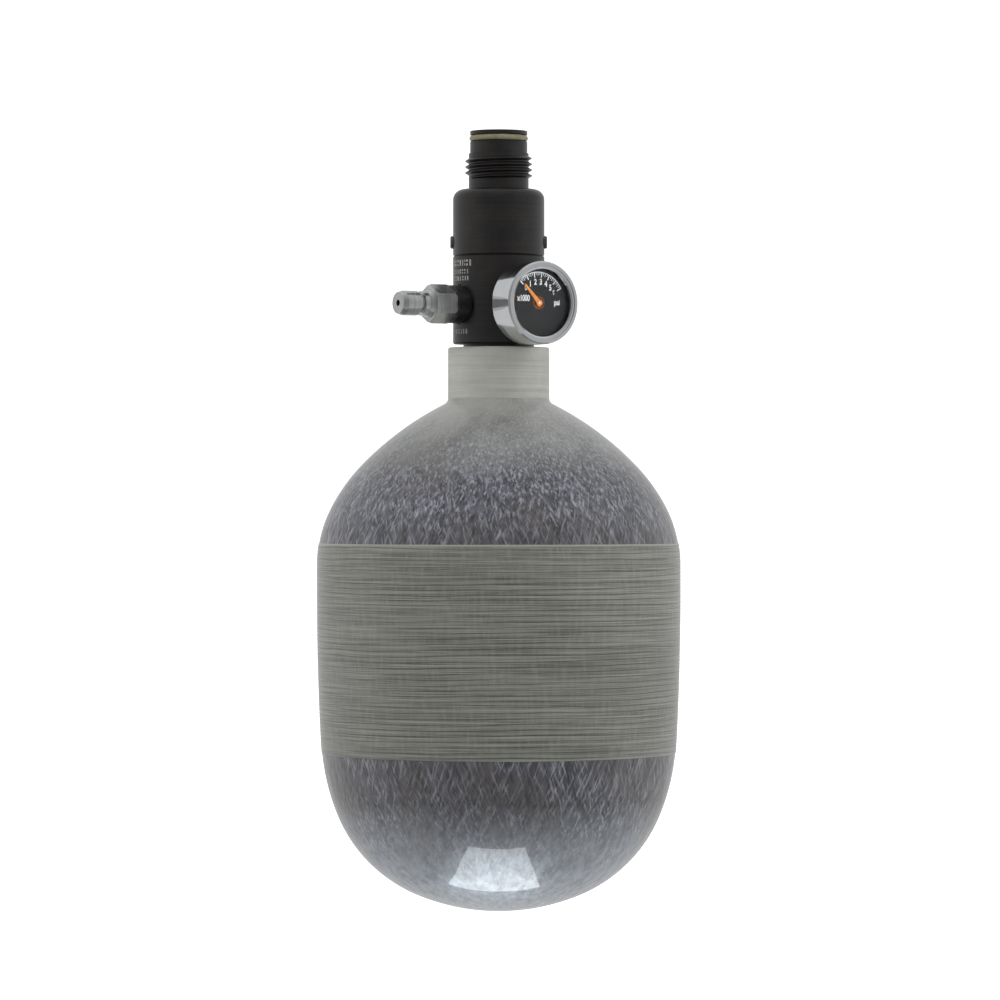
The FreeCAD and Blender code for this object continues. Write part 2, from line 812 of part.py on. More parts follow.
def make_gauge_bezel():
    at = gauge_stations()
    soft = bezel_lip / 3
    opening_r = lens_r - bezel_overlap
    shape = turned([
        (lens_r, at["front"]),
        (gauge_r, at["front"]),
        (gauge_r, at["rim"] - soft),
        (gauge_r - soft, at["rim"]),
        (opening_r + 2 * bezel_step_width, at["rim"]),
        (opening_r + 2 * bezel_step_width, at["rim"] - bezel_step),
        (opening_r + bezel_step_width, at["rim"] - bezel_step),
        (opening_r, at["rim"] - bezel_lip / 2),
        (opening_r, at["lip"]),
        (lens_r, at["lip"]),
    ])
    return outwards(shape, FRONT, port_height)


def make_gauge_lens():
    at = gauge_stations()
    return outwards(disc(lens_r, at["lens"], at["lip"]), FRONT, port_height)


def make_gauge_gasket():
    at = gauge_stations()
    return outwards(ring(dial_r, lens_r, at["front"], at["lens"]), FRONT, port_height)


def make_gauge_dial():
    at = gauge_stations()
    shape = disc(dial_r, at["dial"], at["dial"] + dial_thickness)
    return outwards(shape.cut(disc(bush_r, at["dial"], at["front"])), FRONT, port_height)


def bush_top():
    return gauge_stations()["dial"] + dial_thickness + bush_proud


def make_pointer_bush():
    top = bush_top()
    shape = ring(spindle_r + spindle_clearance, bush_r, top - bush_length, top)
    return outwards(shape, FRONT, port_height)


def pointer_level():
    return bush_top() + pointer_gap


def make_gauge_pointer():
    level = pointer_level()
    reach = dial_r - pointer_margin
    hub = disc(pointer_hub_r, level, level + pointer_thickness)
    outline = Part.makePolygon([
        FreeCAD.Vector(-pointer_root_width / 2, -pointer_tail, level),
        FreeCAD.Vector(pointer_root_width / 2, -pointer_tail, level),
        FreeCAD.Vector(pointer_tip_width / 2, reach, level),
        FreeCAD.Vector(-pointer_tip_width / 2, reach, level),
        FreeCAD.Vector(-pointer_root_width / 2, -pointer_tail, level),
    ])
    needle = Part.Face(outline).extrude(UP * pointer_thickness)
    shape = hub.fuse(needle).cut(disc(spindle_r, level, level + pointer_thickness))
    shape = shape.removeSplitter()
    shape.rotate(ORIGIN, UP, pointer_rest)
    return outwards(shape, FRONT, port_height)


def make_pointer_spindle():
    top = pointer_level() + pointer_thickness
    return outwards(disc(spindle_r, top - spindle_length, top), FRONT, port_height)


def make_bourdon_tube():
    """The flat-sided tube, bent to a C, whose free end moves with the pressure."""
    low = gauge_stations()["inside"] + tube_lift + tube_width / 2
    high = low + tube_height - tube_width
    inner = tube_bend_r - tube_width / 2
    outer = tube_bend_r + tube_width / 2
    section = Part.Wire([
        Part.LineSegment(FreeCAD.Vector(outer, 0, low), FreeCAD.Vector(outer, 0, high)).toShape(),
        half_round(tube_bend_r, high, tube_width / 2),
        Part.LineSegment(FreeCAD.Vector(inner, 0, high), FreeCAD.Vector(inner, 0, low)).toShape(),
        half_round(tube_bend_r, low, -tube_width / 2),
    ])
    tube = solid_of(Part.Face(section).revolve(ORIGIN, UP, tube_sweep))
    return outwards(tube, FRONT, port_height)


def half_round(middle_r, height, rise):
    """Half a circle between the two sides of a flat tube's section."""
    return Part.Arc(
        FreeCAD.Vector(middle_r + rise, 0, height),
        FreeCAD.Vector(middle_r, 0, height + rise),
        FreeCAD.Vector(middle_r - rise, 0, height),
    ).toShape()


def relief_plug(thread_r, floor, flats, head_length, direction, height):
    """A hex plug with a flat upwards, hollow so that a burst disc can vent sideways."""
    end = plug_seat + head_length
    middle = plug_seat + head_length / 2
    corner_r = flats / math.sqrt(3)
    head = hexagon(flats, plug_seat, end).common(turned([
        (0, plug_seat),
        (corner_r, plug_seat),
        (corner_r, end - plug_chamfer),
        (corner_r - plug_chamfer, end),
        (0, end),
    ]))
    shape = head.fuse(disc(thread_r, floor + disc_thickness, plug_seat)).removeSplitter()
    shape = shape.cut(disc(plug_vent_r, floor, middle))
    cross_hole = Part.makeCylinder(plug_vent_r, 2 * corner_r, FreeCAD.Vector(0, -corner_r, middle), BACK)
    return outwards(shape.cut(cross_hole), direction, height)


def relief_disc(thread_r, floor, direction, height):
    shape = disc(thread_r - disc_margin, floor, floor + disc_thickness)
    return outwards(shape, direction, height)


parts = {
    "liner": make_liner(),
    "carbon_overwrap": make_overwrap(),
    "hoop_wrap": make_hoop(),
    "neck_oring": make_neck_oring(),
    "regulator_body": make_body(),
    "bonnet": make_bonnet(),
    "outlet_thread": make_thread(),
    "outlet_oring": make_outlet_oring(),
    "pin_housing": make_pin_housing(),
    "valve_pin": make_valve_pin(),
    "pin_seal": make_pin_seal(),
    "pin_spring": make_pin_spring(),
    "piston": make_piston(),
    "piston_oring": make_piston_oring(),
    "stem_guide": make_stem_guide(),
    "stem_oring": make_stem_oring(),
    "valve_seat": make_valve_seat(),
    "inlet_filter": make_inlet_filter(),
    "filter_clip": make_filter_clip(),
    "fill_nipple": make_nipple(),
    "nipple_spacer": make_nipple_spacer(),
    "nipple_seal": make_nipple_seal(),
    "check_poppet": make_check_poppet(),
    "check_seal": make_check_seal(),
    "check_spring": make_check_spring(),
    "check_retainer": make_check_retainer(),
    "gauge_socket": make_gauge_socket(),
    "bourdon_post": make_bourdon_post(),
    "gauge_case": make_gauge_case(),
    "gauge_bezel": make_gauge_bezel(),
    "gauge_lens": make_gauge_lens(),
    "gauge_gasket": make_gauge_gasket(),
    "gauge_dial": make_gauge_dial(),
    "pointer_bush": make_pointer_bush(),
    "gauge_pointer": make_gauge_pointer(),
    "pointer_spindle": make_pointer_spindle(),
    "bourdon_tube": make_bourdon_tube(),
}
for number, way in enumerate(grub_directions(), 1):
    parts["bonnet_grub_screw_%d" % number] = make_grub(way)
for level in range(washer_count):
    parts["spring_washer_%d" % (level + 1)] = make_washer(level)
for name, (thread_r, floor, flats, head, way, height) in {
    "high": (high_plug_r, high_plug_floor, high_plug_af, high_plug_head, RIGHT, high_plug_height),
    "low": (low_plug_r, low_plug_floor, low_plug_af, low_plug_head, BACK, low_plug_height),
}.items():
    parts[name + "_burst_plug"] = relief_plug(thread_r, floor, flats, head, way, height)
    parts[name + "_burst_disc"] = relief_disc(thread_r, floor, way, height)

os.makedirs("parts", exist_ok=True)
for name, shape in parts.items():
    solids = shape.Solids
    print(name, "solids", len(solids), "volume", round(shape.Volume, 2), "valid", shape.isValid())
    whole = solids[0] if len(solids) == 1 else shape
    whole.exportStep("parts/" + name + ".step")
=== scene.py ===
import math
import random

import bpy
from mathutils import Matrix, Vector, noise


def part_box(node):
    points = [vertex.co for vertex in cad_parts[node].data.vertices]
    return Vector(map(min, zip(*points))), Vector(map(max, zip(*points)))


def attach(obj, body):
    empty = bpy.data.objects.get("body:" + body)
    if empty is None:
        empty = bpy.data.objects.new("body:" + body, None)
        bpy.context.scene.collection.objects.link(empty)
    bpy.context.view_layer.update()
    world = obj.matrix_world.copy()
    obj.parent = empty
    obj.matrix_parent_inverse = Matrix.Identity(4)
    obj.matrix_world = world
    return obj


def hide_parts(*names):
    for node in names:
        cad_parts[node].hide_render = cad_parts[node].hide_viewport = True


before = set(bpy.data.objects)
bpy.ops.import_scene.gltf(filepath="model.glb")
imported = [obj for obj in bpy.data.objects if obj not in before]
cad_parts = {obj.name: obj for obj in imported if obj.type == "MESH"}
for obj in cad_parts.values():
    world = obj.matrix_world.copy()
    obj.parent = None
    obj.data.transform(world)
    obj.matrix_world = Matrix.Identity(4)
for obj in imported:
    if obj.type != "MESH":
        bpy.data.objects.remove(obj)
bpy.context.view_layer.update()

MM = 0.001
ROOT = "cylinder"

# The cylinder's outline, in millimetres and degrees: the same arcs as the frame's own cylinder.
CONE_HEADING = 62.0
DOME_START_R = 19.0
UPPER_DOME = ((95.0, 18.4), (57.0, 15.6), (38.9, 28.0))
LOWER_DOME = ((69.3, 18.6), (45.8, 46.0))
LOWER_GIRTH = 55.42
BARREL_CURVE_R = 900.0
BARREL_CURVE_TURN = 3.0
BARREL_STRAIGHT = 8.7
DOME_START_DROP = 18.65
HOOP_PROUD = 0.15
NECK_R = 15.85
NECK_FILLET_R = 2.0

# The windings: how far a carbon tow's streaks turn in a metre of height, and the hoop's passes in metres.
LAY_TWIST = 6.5             # radians
HOOP_PASS = 0.00345
HOOP_RIDGE = 1.15           # millimetres

# The outlet's thread.
THREAD_PITCH = 1.8143
THREAD_START = 144.0        # degrees round the axis of its lower end
THREAD_STEPS = 96           # points to a turn
THREAD_DEPTH_SHARE = 0.6134 # of the pitch
THREAD_HALF_ANGLE = 30.0
THREAD_RUN_OUT = 0.35       # turns over which the crest rises or dies away

# The dial: readings run evenly from the left end of the scale to its right end.
DIAL_SPAN = 105.0
DIAL_TURN = 8.0             # how far the gauge is screwed round past upright
DIAL_TOP_READING = 6
DIAL_ARC_R = 9.5
DIAL_NUMBER_R = 6.5
TICK_LENGTHS = (1.6, 0.8, 1.1, 0.8)     # whole reading, quarter, half, quarter
TICK_WIDE = 0.34
TICK_NARROW = 0.2

# Etched dashes on the regulator, in metres: height, start and end round from the nipple, and how tall.
MARK_ROWS = ((-0.0415, -0.0058, 0.0050, 0.0019), (-0.0442, -0.0052, 0.0041, 0.0014),
             (-0.0463, -0.0046, 0.0035, 0.0014), (-0.0628, -0.0050, 0.0036, 0.0015))
MARK_GAP = 0.00028

# Camera, from the frame's own scale: 4800 pixels of focal length at 1.5 m.
CAMERA_DISTANCE = 1.5
CAMERA_AZIMUTH = -33.0
CAMERA_LENS = 172.8
EYE_HEIGHT = -0.1152
CAMERA_SIDESTEP = 0.0004

# Studio light: lamp powers in watts, and the surround's brightness from each side.
KEY_POWER = 14.5
FILL_POWER = 13.8
PANEL_GLOW = 4.3
FLOOR_GLOW = 0.85
SURROUND_FRONT = 0.24
SURROUND_ROUND = 0.60
LAMP_DISTANCE = 1.5
LAMP_SIZE = (1.0, 1.2)
PANEL_HEIGHT = -0.300
PANEL_CORNERS = ((0.075, 0.029), (0.075, -0.033), (-0.007, -0.036), (-0.007, 0.029))   # forwards, to the right
FLOOR_RADIUS = 3000.0       # millimetres, as are the next two
FLOOR_CURVE = 800.0
WALL_HEIGHT = 3000.0
FLOOR_DROP = 0.2            # below the object's bottom


def node_corners(name):
    """The low and high corners of a node's box, in metres."""
    low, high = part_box(name)
    return Vector(low), Vector(high)


neck_high = node_corners("liner")[1]
wrap_low, wrap_high = node_corners("carbon_overwrap")
hoop_low, hoop_high = node_corners("hoop_wrap")
NECK_TOP = neck_high.z / MM
HOOP_TOP = hoop_high.z / MM
HOOP_BOTTOM = hoop_low.z / MM
BOTTLE_R = hoop_high.x / MM - HOOP_PROUD


# ---------------------------------------------------------------- meshes

def new_object(name, verts, faces, material, smooth=True):
    """A mesh piece from its corners and faces, in metres."""
    mesh = bpy.data.meshes.new(name)
    mesh.from_pydata(verts, [], faces)
    mesh.validate()
    mesh.update()
    if smooth:
        mesh.polygons.foreach_set("use_smooth", [True] * len(mesh.polygons))
    mesh.materials.append(material)
    piece = bpy.data.objects.new(name, mesh)
    bpy.context.collection.objects.link(piece)
    return piece


def lathe(name, profile, segments, material, relief=None):
    """Turn an outline of (radius, height) millimetres about Z. relief() gives how far each point moves out."""
    verts = []
    faces = []
    rows = []
    for radius, height in profile:
        if radius < 1e-6:
            rows.append([len(verts)])
            verts.append((0.0, 0.0, height * MM))
            continue
        row = []
        for step in range(segments):
            angle = 2 * math.pi * step / segments
            out = radius
            if relief:
                out += relief(angle, radius, height)
            row.append(len(verts))
            verts.append((out * MM * math.cos(angle), out * MM * math.sin(angle), height * MM))
        rows.append(row)
    for upper, lower in zip(rows, rows[1:]):
        for step in range(segments):
            after = (step + 1) % segments
            ring = [lower[step % len(lower)], lower[after % len(lower)],
                    upper[after % len(upper)], upper[step % len(upper)]]
            corners = []
            for corner in ring:
                if corner not in corners:
                    corners.append(corner)
            faces.append(corners)
    return new_object(name, verts, faces, material)


def arc_points(start, heading, radius, turn, spacing):
    """Points along an arc that turns inwards, without its first: [(r, z)], and the last heading."""
    count = max(4, int(radius * turn / spacing))
    centre = (start[0] - radius * math.cos(heading), start[1] - radius * math.sin(heading))
    points = []
    for step in range(1, count + 1):
        angle = heading - turn * step / count
        points.append((centre[0] + radius * math.cos(angle), centre[1] + radius * math.sin(angle)))
    return points, heading - turn


def vessel_outline(offset, spacing):
    """The cylinder's outline, moved outwards, from the foot of its neck to its bottom."""
    heading = math.radians(CONE_HEADING)
    widening = 0.0
    angle = CONE_HEADING
    for relative, turn in UPPER_DOME:
        widening += relative * (math.cos(math.radians(angle - turn)) - math.cos(math.radians(angle)))
        angle -= turn
    upper_scale = (BOTTLE_R - DOME_START_R) / widening
    barrel_loss = BARREL_CURVE_R * (1 - math.cos(math.radians(BARREL_CURVE_TURN)))
    lower_scale = (BOTTLE_R - barrel_loss) / LOWER_GIRTH
    point = (DOME_START_R + offset * math.cos(heading),
             NECK_TOP - DOME_START_DROP + offset * math.sin(heading))
    points = [point]
    for relative, turn in UPPER_DOME:
        radius = relative * upper_scale + offset
        more, heading = arc_points(point, heading, radius, math.radians(turn), spacing)
        points += more
        point = points[-1]
    steps = int(BARREL_STRAIGHT / spacing)
    points += [(point[0], point[1] - BARREL_STRAIGHT * step / steps) for step in range(1, steps + 1)]
    point = points[-1]
    turn = math.radians(BARREL_CURVE_TURN)
    more, heading = arc_points(point, heading, BARREL_CURVE_R + offset, turn, spacing)
    points += more
    point = points[-1]
    for relative, turn in LOWER_DOME:
        radius = relative * lower_scale + offset
        more, heading = arc_points(point, heading, radius, math.radians(turn), spacing)
        points += more
        point = points[-1]
    closing = math.radians(90) + heading
    more, heading = arc_points(point, heading, point[0] / math.sin(closing), closing, spacing)
    points += more[:-1] + [(0.0, more[-1][1])]
    return points


# ---------------------------------------------------------------- materials

class Shader:
    """A node material whose sockets are set by name and whose wiring reads as calls."""

    def __init__(self, name, **sockets):
        self.material = bpy.data.materials.new(name)
        self.material.use_nodes = True
        self.tree = self.material.node_tree
        self.surface = self.tree.nodes["Principled BSDF"]
        for socket, value in sockets.items():
            self.surface.inputs[socket.replace("_", " ")].default_value = value
        self.place = self.tree.nodes.new("ShaderNodeTexCoord").outputs["Object"]

    def feed(self, socket, value):
        if isinstance(value, (int, float, tuple)):
            socket.default_value = value
        else:
            self.tree.links.new(value, socket)

    def scaled(self, x, y, z, place=None):
        """Object coordinates stretched by a factor along each axis."""
        mapping = self.tree.nodes.new("ShaderNodeMapping")
        mapping.inputs["Scale"].default_value = (x, y, z)
        self.feed(mapping.inputs["Vector"], place or self.place)
        return mapping.outputs[0]

    def attribute(self, name):
        source = self.tree.nodes.new("ShaderNodeAttribute")
        source.attribute_name = name
        return source.outputs["Vector"]

    def noise(self, place, scale=1.0, detail=4.0, rough=0.6):
        texture = self.tree.nodes.new("ShaderNodeTexNoise")
        texture.inputs["Scale"].default_value = scale
        texture.inputs["Detail"].default_value = detail
        texture.inputs["Roughness"].default_value = rough
        self.feed(texture.inputs["Vector"], place)
        return texture.outputs["Fac"]

    def math(self, operation, first, second=0.0, clamp=False):
        step = self.tree.nodes.new("ShaderNodeMath")
        step.operation = operation
        step.use_clamp = clamp
        self.feed(step.inputs[0], first)
        self.feed(step.inputs[1], second)
        return step.outputs[0]

    def range(self, value, low, high, to_low=0.0, to_high=1.0):
        step = self.tree.nodes.new("ShaderNodeMapRange")
        self.feed(step.inputs["Value"], value)
        limits = (("From Min", low), ("From Max", high), ("To Min", to_low), ("To Max", to_high))
        for socket, number in limits:
            step.inputs[socket].default_value = number
        return step.outputs[0]

    def mix(self, factor, first, second):
        step = self.tree.nodes.new("ShaderNodeMix")
        step.data_type = "RGBA"
        self.feed(step.inputs[0], factor)
        self.feed(step.inputs[6], first)
        self.feed(step.inputs[7], second)
        return step.outputs[2]

    def axis(self, place, letter):
        step = self.tree.nodes.new("ShaderNodeSeparateXYZ")
        self.feed(step.inputs[0], place)
        return step.outputs[letter]

    def colour(self, value):
        self.feed(self.surface.inputs["Base Color"], value)

    def roughness(self, value):
        self.feed(self.surface.inputs["Roughness"], value)

    def bump(self, height, distance, strength=1.0):
        step = self.tree.nodes.new("ShaderNodeBump")
        step.inputs["Distance"].default_value = distance
        step.inputs["Strength"].default_value = strength
        self.feed(step.inputs["Height"], height)
        self.feed(self.surface.inputs["Normal"], step.outputs[0])


def rgb(red, green, blue):
    """A linear colour from display values out of 255."""
    def linear(value):
        value /= 255.0
        return value / 12.92 if value < 0.04045 else ((value + 0.055) / 1.055) ** 2.4
    return (linear(red), linear(green), linear(blue), 1.0)


def turned_metal(name, dark, light, metallic, rough, grain=9000.0, depth=0.000004, axis="Z"):
    """Metal with the fine rings that a lathe leaves about the given axis."""
    shader = Shader(name, Metallic=metallic)
    across = {"X": (grain, 25.0, 25.0), "Y": (25.0, grain, 25.0), "Z": (25.0, 25.0, grain)}[axis]
    rings = shader.noise(shader.scaled(*across), 1.0, 3.0)
    stains = shader.noise(shader.place, 180.0, 5.0)
    both = shader.math("ADD", shader.math("MULTIPLY", rings, 0.6), shader.math("MULTIPLY", stains, 0.4))
    shader.colour(shader.mix(shader.range(both, 0.35, 0.65), dark, light))
    shader.roughness(shader.range(both, 0.3, 0.7, rough * 0.8, rough * 1.25))
    shader.bump(rings, depth, 0.6)
    return shader.material


def black_anodised():
    """Dyed, lathe-turned aluminium: near black, with a faint warm cast and finger-worn patches."""
    shader = Shader("black_anodised", Metallic=0.35, Coat_Weight=0.25, Coat_Roughness=0.22)
    rings = shader.noise(shader.scaled(20.0, 20.0, 7000.0), 1.0, 3.0)
    wear = shader.noise(shader.place, 120.0, 6.0, 0.65)
    tone = shader.math("ADD", shader.math("MULTIPLY", rings, 0.5), shader.math("MULTIPLY", wear, 0.5))
    shader.colour(shader.mix(shader.range(tone, 0.35, 0.68), rgb(22, 21, 22), rgb(50, 47, 45)))
    shader.roughness(shader.range(wear, 0.3, 0.7, 0.28, 0.42))
    shader.bump(rings, 0.000004, 0.5)
    return shader.material


def rubber(name, dark, light, rough=0.55):
    """Moulded rubber or urethane with a fine grain."""
    shader = Shader(name, Roughness=rough)
    grain = shader.noise(shader.place, 2500.0, 4.0)
    cloud = shader.noise(shader.place, 300.0, 3.0)
    tone = shader.math("ADD", shader.math("MULTIPLY", grain, 0.4), shader.math("MULTIPLY", cloud, 0.6))
    shader.colour(shader.mix(shader.range(tone, 0.35, 0.65), dark, light))
    shader.roughness(shader.range(grain, 0.3, 0.7, rough - 0.08, rough + 0.1))
    shader.bump(grain, 0.00001, 0.4)
    return shader.material


def dial_paint():
    """Matte black with a trace of dust."""
    shader = Shader("dial_black", Specular_IOR_Level=0.25)
    cloud = shader.noise(shader.place, 500.0, 4.0)
    dust = shader.noise(shader.place, 2600.0, 2.0)
    base = shader.mix(shader.range(cloud, 0.35, 0.65), rgb(8, 8, 11), rgb(16, 16, 20))
    shader.colour(shader.mix(shader.range(dust, 0.62, 0.8, 0.0, 0.2), base, rgb(60, 60, 64)))
    shader.roughness(shader.range(cloud, 0.3, 0.7, 0.55, 0.75))
    return shader.material


def plastic(name, dark, light, rough=0.35, scale=900.0, **sockets):
    """Moulded plastic, paint or print with a slight grain."""
    shader = Shader(name, **sockets)
    grain = shader.noise(shader.place, scale, 4.0)
    cloud = shader.noise(shader.place, scale / 8.0, 3.0)
    shader.colour(shader.mix(shader.range(cloud, 0.35, 0.65), dark, light))
    shader.roughness(shader.range(grain, 0.3, 0.7, rough * 0.85, rough * 1.2))
    shader.bump(grain, 0.000005, 0.35)
    return shader.material


def porous_bronze():
    """Sintered bronze beads, for the inlet filter."""
    shader = Shader("porous_bronze", Metallic=0.9)
    grains = shader.tree.nodes.new("ShaderNodeTexVoronoi")
    grains.inputs["Scale"].default_value = 4000.0
    shader.feed(grains.inputs["Vector"], shader.place)
    # Painted shade: each bead is painted light at its middle and darker towards the gaps between beads.
    shader.colour(shader.mix(grains.outputs["Distance"], rgb(190, 140, 90), rgb(90, 62, 40)))
    shader.roughness(0.6)
    shader.bump(grains.outputs["Distance"], 0.00005, 0.8)
    return shader.material


def glass():
    """The gauge's window: clear, with a trace of smear in its gloss."""
    shader = Shader("gauge_window", Transmission_Weight=1.0, IOR=1.25)
    smear = shader.noise(shader.place, 220.0, 5.0)
    shader.colour(shader.mix(smear, (0.96, 0.98, 0.98, 1.0), (1.0, 1.0, 1.0, 1.0)))
    shader.roughness(shader.range(smear, 0.4, 0.8, 0.0, 0.004))
    return shader.material


def carbon_tow():
    """Crossed tows under clear resin. Each lay has coordinates that follow its own helix."""
    shader = Shader("carbon_tow", Coat_Weight=1.0, Coat_Roughness=0.05, Coat_IOR=1.5, Metallic=0.2)
    height = shader.axis(shader.place, "Z")
    broad = []
    light = []
    dark = []
    for lay in ("lay_left", "lay_right"):
        place = shader.attribute(lay)
        broad.append(shader.noise(shader.scaled(1.0, 1.0, 0.10, place), 420.0, 5.0, 0.62))
        light.append(shader.noise(shader.scaled(1.0, 1.0, 0.085, place), 1250.0, 3.0, 0.55))
        dark.append(shader.noise(shader.scaled(1.0, 1.0, 0.10, place), 980.0, 3.0, 0.5))
    tows = shader.math("ADD", shader.math("MULTIPLY", broad[0], 0.5), shader.math("MULTIPLY", broad[1], 0.5))
    cloud = shader.noise(shader.scaled(1.0, 1.0, 0.6), 70.0, 5.0, 0.6)
    tone = shader.math("ADD", shader.math("MULTIPLY", tows, 0.6), shader.math("MULTIPLY", cloud, 0.4))
    base = shader.mix(shader.range(tone, 0.38, 0.62), rgb(61, 62, 68), rgb(112, 114, 123))
    for strokes in dark:
        base = shader.mix(shader.range(strokes, 0.32, 0.50, 0.80, 0.0), base, rgb(44, 44, 47))
    for strokes in light:
        base = shader.mix(shader.range(strokes, 0.53, 0.73, 0.0, 0.78), base, rgb(176, 180, 190))
    warm = shader.noise(shader.place, 38.0, 3.0)
    base = shader.mix(shader.range(warm, 0.52, 0.72, 0.0, 0.5), base, rgb(98, 88, 84))
    near_hoop = shader.range(height, HOOP_TOP * MM + 0.010, HOOP_TOP * MM)
    near_hoop = shader.math("MULTIPLY", near_hoop, shader.range(cloud, 0.42, 0.60, 0.0, 0.55))
    base = shader.mix(near_hoop, base, rgb(74, 66, 62))
    shoulder_top = wrap_high.z
    pale = shader.range(height, shoulder_top - 0.026, shoulder_top - 0.003)
    pale = shader.math("MULTIPLY", pale, shader.range(cloud, 0.35, 0.60, 0.65, 1.0))
    base = shader.mix(pale, base, rgb(162, 163, 158))
    # Painted reflection: the lower dome is painted pale blue-white towards its bottom, in place of the white
    # floor mirrored in its coat; how strong it is follows the tows.
    low = shader.range(height, wrap_low.z + 0.036, wrap_low.z + 0.001)
    low = shader.math("MULTIPLY", low, shader.range(tows, 0.40, 0.60, 0.55, 1.0))
    base = shader.mix(low, base, rgb(208, 218, 229))
    shader.colour(base)
    shader.roughness(shader.range(tows, 0.35, 0.65, 0.62, 0.38))
    shader.bump(tows, 0.00012, 0.5)
    return shader.material


def hoop_tow():
    """Glass hoop winding: olive grey, with the dark gaps between passes of the tow."""
    shader = Shader("hoop_tow", Coat_Weight=0.8, Coat_Roughness=0.09, Coat_IOR=1.5)
    height = shader.axis(shader.place, "Z")
    wander = shader.noise(shader.scaled(9.0, 9.0, 60.0), 1.0, 3.0)
    strength = shader.noise(shader.scaled(14.0, 14.0, 90.0), 1.0, 4.0)
    phase = shader.math("ADD", shader.math("MULTIPLY", height, 2 * math.pi / HOOP_PASS),
                        shader.math("MULTIPLY", wander, 7.0))
    gap = shader.math("POWER", shader.math("ABSOLUTE", shader.math("SINE", phase)), 0.35)
    fibres = shader.noise(shader.scaled(30.0, 30.0, 3600.0), 1.0, 4.0, 0.7)
    ribs = shader.noise(shader.scaled(700.0, 700.0, 160.0), 1.0, 2.0)
    cloud = shader.noise(shader.scaled(16.0, 16.0, 26.0), 1.0, 4.0)
    base = shader.mix(shader.range(fibres, 0.36, 0.64), rgb(84, 86, 78), rgb(148, 150, 141))
    base = shader.mix(shader.range(ribs, 0.45, 0.75, 0.0, 0.35), base, rgb(150, 152, 146))
    base = shader.mix(shader.range(cloud, 0.50, 0.68, 0.0, 0.5), base, rgb(110, 105, 101))
    dark = shader.math("MULTIPLY", shader.range(gap, 0.42, 0.72, 1.0, 0.0),
                       shader.range(strength, 0.36, 0.58, 0.2, 1.0))
    base = shader.mix(dark, base, rgb(62, 63, 58))
    rim = shader.range(height, HOOP_TOP * MM - 0.0009, HOOP_TOP * MM - 0.0004)
    base = shader.mix(rim, base, rgb(150, 152, 146))
    shader.colour(base)
    shader.roughness(shader.range(fibres, 0.3, 0.7, 0.45, 0.62))
    shader.bump(shader.math("ADD", shader.math("MULTIPLY", fibres, 0.5), gap), 0.00008, 0.6)
    return shader.material


def brushed_neck():
    """Bare aluminium neck under a skin of resin, brushed round and round."""
    shader = Shader("brushed_neck", Metallic=0.4)
    rings = shader.noise(shader.scaled(40.0, 40.0, 5200.0), 1.0, 4.0, 0.65)
    broad = shader.noise(shader.scaled(25.0, 25.0, 420.0), 1.0, 3.0)
    cloud = shader.noise(shader.place, 90.0, 4.0)
    tone = shader.math("ADD", shader.math("MULTIPLY", rings, 0.4),
                       shader.math("ADD", shader.math("MULTIPLY", broad, 0.3),
                                   shader.math("MULTIPLY", cloud, 0.3)))
    shader.colour(shader.mix(shader.range(tone, 0.36, 0.64), rgb(170, 171, 164), rgb(210, 211, 204)))
    shader.roughness(shader.range(rings, 0.3, 0.7, 0.42, 0.58))
    shader.bump(rings, 0.000012, 0.5)
    return shader.material


def chrome():
    """Plated steel with a faint haze."""
    shader = Shader("chrome_plate", Metallic=1.0)
    haze = shader.noise(shader.place, 260.0, 5.0)
    shader.colour(shader.mix(haze, rgb(214, 216, 218), rgb(238, 240, 242)))
    shader.roughness(shader.range(haze, 0.35, 0.7, 0.05, 0.13))
    shader.bump(shader.noise(shader.scaled(60.0, 4000.0, 60.0), 1.0, 2.0), 0.0000015, 0.4)
    return shader.material


def white_print():
    """White ink on the dial."""
    return plastic("white_print", rgb(205, 207, 208), rgb(232, 234, 235), 0.5, 3000.0)


carbon = carbon_tow()
hoop = hoop_tow()
neck_metal = brushed_neck()
anodised = black_anodised()
plated = chrome()
brass = turned_metal("turned_brass", rgb(150, 118, 62), rgb(206, 168, 98), 1.0, 0.28)
stainless = turned_metal("turned_stainless", rgb(172, 173, 174), rgb(230, 231, 231), 1.0, 0.22, axis="X")
wire = turned_metal("spring_wire", rgb(120, 120, 120), rgb(170, 170, 170), 1.0, 0.3)
plug_steel = turned_metal("plated_plug", rgb(128, 130, 132), rgb(186, 188, 190), 0.95, 0.3)
black_screw = turned_metal("black_screw", rgb(70, 69, 68), rgb(124, 122, 119), 0.7, 0.35)
copper = turned_metal("copper_disc", rgb(150, 88, 56), rgb(200, 126, 86), 1.0, 0.3)
urethane = rubber("tan_urethane", rgb(112, 108, 84), rgb(146, 141, 114), 0.42)
black_rubber = rubber("black_rubber", rgb(20, 20, 20), rgb(38, 38, 38))
black_plastic = plastic("black_spacer", rgb(24, 24, 25), rgb(46, 45, 46), 0.4)
seal_plastic = plastic("seal_plastic", rgb(205, 200, 186), rgb(232, 228, 214), 0.4)
dial_black = dial_paint()
orange = plastic("pointer_orange", rgb(200, 112, 24), rgb(232, 152, 52), 0.35, 2600.0)
hub_copper = turned_metal("hub_copper", rgb(74, 38, 22), rgb(126, 68, 40), 0.8, 0.35, axis="Y")
printing = white_print()
etching = plastic("etched_marks", rgb(126, 126, 124), rgb(176, 176, 172), 0.6, 4000.0)
window = glass()

